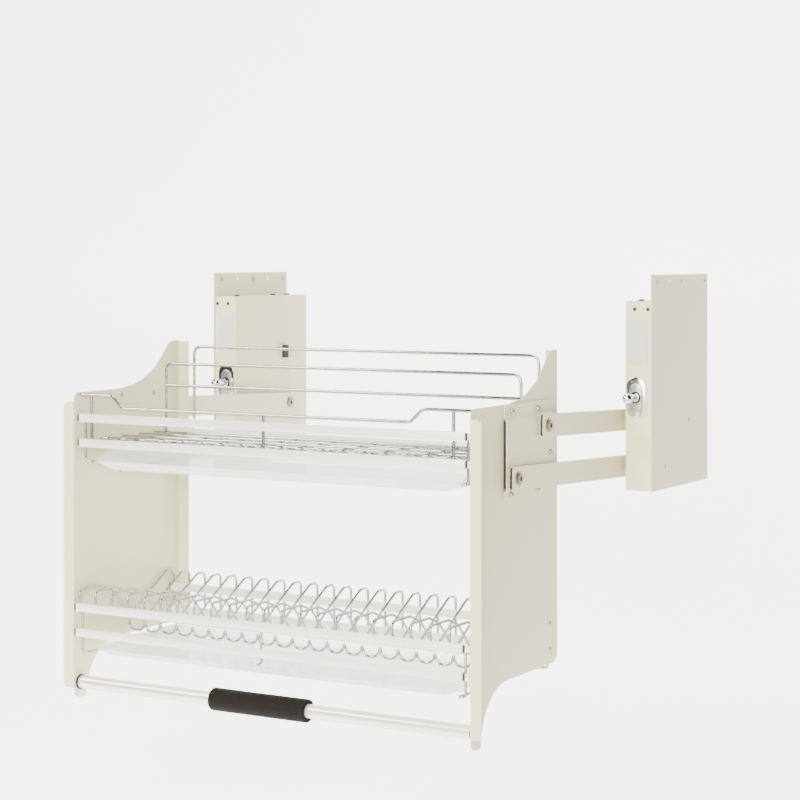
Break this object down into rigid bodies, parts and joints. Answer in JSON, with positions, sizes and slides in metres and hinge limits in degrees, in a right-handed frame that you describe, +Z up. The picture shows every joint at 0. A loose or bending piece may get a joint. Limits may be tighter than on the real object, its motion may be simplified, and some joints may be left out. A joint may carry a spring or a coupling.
{
  "type": "pull-down dish rack",
  "caption": "Two-tier dish rack that swings down from a wall cabinet on paired side arms, with wire shelves, drip trays and a gripped pull bar.",
  "frame": {"origin": "On the mid-plane, level with the undersides of the side housings and in the plane of their front faces", "axes": "+Z up, +Y into the cabinet, +X to the right of someone who faces the rack"},
  "size_m": [0.864, 0.7277, 0.68],
  "materials": {
    "white_paint": "satin powder coat",
    "wire_steel": "bright",
    "bar_metal": "bright",
    "chrome": "polished",
    "bolt_steel": "plain",
    "handle_metal": "polished",
    "grip_foam": "matte",
    "black_plastic": "matte",
    "black_rubber": "matte",
    "tray_plastic": "clear",
    "spring_steel": "plain"
  },
  "bodies": {
    "mechanism": {"left_wall_plate": "white_paint", "left_housing": "white_paint", "left_stop_bracket": "white_paint", "left_stop_pad": "black_rubber", "left_rest_buffer": "black_rubber", "left_adjuster_plate": "chrome", "left_lift_spring": "spring_steel", "right_wall_plate": "white_paint", "right_housing": "white_paint", "right_stop_bracket": "white_paint", "right_stop_pad": "black_rubber", "right_rest_buffer": "black_rubber", "right_adjuster_plate": "chrome", "right_lift_spring": "spring_steel"},
    "left_adjuster": {"left_adjuster_screw": "chrome"},
    "left_carriage": {"left_spring_carriage": "bolt_steel"},
    "left_upper_arm": {"left_upper_arm": "white_paint", "left_crank_shaft": "bolt_steel"},
    "left_lower_arm": {"left_lower_arm": "white_paint", "left_lower_shaft": "bolt_steel"},
    "right_adjuster": {"right_adjuster_screw": "chrome"},
    "right_carriage": {"right_spring_carriage": "bolt_steel"},
    "right_upper_arm": {"right_upper_arm": "white_paint", "right_crank_shaft": "bolt_steel"},
    "right_lower_arm": {"right_lower_arm": "white_paint", "right_lower_shaft": "bolt_steel"},
    "basket": {"left_side_plate": "white_paint", "left_arm_bracket": "white_paint", "left_upper_pivot_bolt": "bolt_steel", "left_lower_pivot_bolt": "bolt_steel", "left_handle_cap": "black_plastic", "left_upper_tray_rail": "wire_steel", "left_lower_tray_rail": "wire_steel", "right_side_plate": "white_paint", "right_arm_bracket": "white_paint", "right_upper_pivot_bolt": "bolt_steel", "right_lower_pivot_bolt": "bolt_steel", "right_handle_cap": "black_plastic", "right_upper_tray_rail": "wire_steel", "right_lower_tray_rail": "wire_steel", "bowl_bar_top": "bar_metal", "bowl_bar_bottom": "bar_metal", "plate_bar_top": "bar_metal", "plate_bar_bottom": "bar_metal", "bowl_rear_bar": "bar_metal", "plate_rear_bar_top": "bar_metal", "plate_rear_bar_bottom": "bar_metal", "bowl_rack": "wire_steel", "bowl_front_rail": "wire_steel", "bowl_rear_guard": "wire_steel", "bowl_mid_guard": "wire_steel", "dish_rack": "wire_steel", "plate_cradle_wire": "wire_steel", "middle_hanger": "wire_steel", "handle_tube": "handle_metal", "handle_grip": "grip_foam"},
    "upper_tray": {"upper_drip_tray": "tray_plastic"},
    "lower_tray": {"lower_drip_tray": "tray_plastic"}
  },
  "joints": [
    {"name": "lift", "type": "hinge", "parent": "mechanism", "child": "right_upper_arm", "pos_m": [0, 0.155, 0.108], "axis": [-1, 0, 0], "range_deg": [0, 97.8], "deforming": ["left_lift_spring", "right_lift_spring"]},
    {"name": "basket_level", "type": "hinge", "parent": "right_upper_arm", "child": "basket", "pos_m": [0, -0.26169, 0.12401], "axis": [1, 0, 0], "range_deg": [0, 97.8]},
    {"name": "left_upper_arm_swing", "type": "hinge", "parent": "mechanism", "child": "left_upper_arm", "pos_m": [0, 0.155, 0.108], "axis": [-1, 0, 0], "range_deg": [0, 97.8]},
    {"name": "right_lower_arm_swing", "type": "hinge", "parent": "mechanism", "child": "right_lower_arm", "pos_m": [0, 0.0546, 0.0364], "axis": [-1, 0, 0], "range_deg": [0, 97.8]},
    {"name": "left_lower_arm_swing", "type": "hinge", "parent": "mechanism", "child": "left_lower_arm", "pos_m": [0, 0.0546, 0.0364], "axis": [-1, 0, 0], "range_deg": [0, 97.8]},
    {"name": "upper_tray_slide", "type": "slide", "parent": "basket", "child": "upper_tray", "axis": [0, -1, 0], "range_m": [0, 0.2]},
    {"name": "lower_tray_slide", "type": "slide", "parent": "basket", "child": "lower_tray", "axis": [0, -1, 0], "range_m": [0, 0.2]},
    {"name": "left_adjuster_turn", "type": "hinge", "parent": "mechanism", "child": "left_adjuster", "pos_m": [-0.404, 0, 0.152], "axis": [0, -1, 0], "range_deg": [-1090, 1090]},
    {"name": "left_carriage_slide", "type": "slide", "parent": "mechanism", "child": "left_carriage", "axis": [0, -1, 0], "range_m": [-0.0045, 0.0045]},
    {"name": "right_adjuster_turn", "type": "hinge", "parent": "mechanism", "child": "right_adjuster", "pos_m": [0.404, 0, 0.152], "axis": [0, -1, 0], "range_deg": [-1090, 1090]},
    {"name": "right_carriage_slide", "type": "slide", "parent": "mechanism", "child": "right_carriage", "axis": [0, -1, 0], "range_m": [-0.0045, 0.0045]}
  ],
  "couplings": [
    {"joint": "basket_level", "follows": "lift", "ratio": 1},
    {"joint": "left_upper_arm_swing", "follows": "lift", "ratio": 1},
    {"joint": "right_lower_arm_swing", "follows": "lift", "ratio": 1},
    {"joint": "left_lower_arm_swing", "follows": "lift", "ratio": 1},
    {"joint": "left_adjuster_turn", "follows": "left_carriage_slide", "rad_per_m": 4188.8},
    {"joint": "right_adjuster_turn", "follows": "right_carriage_slide", "rad_per_m": 4188.8}
  ]
}
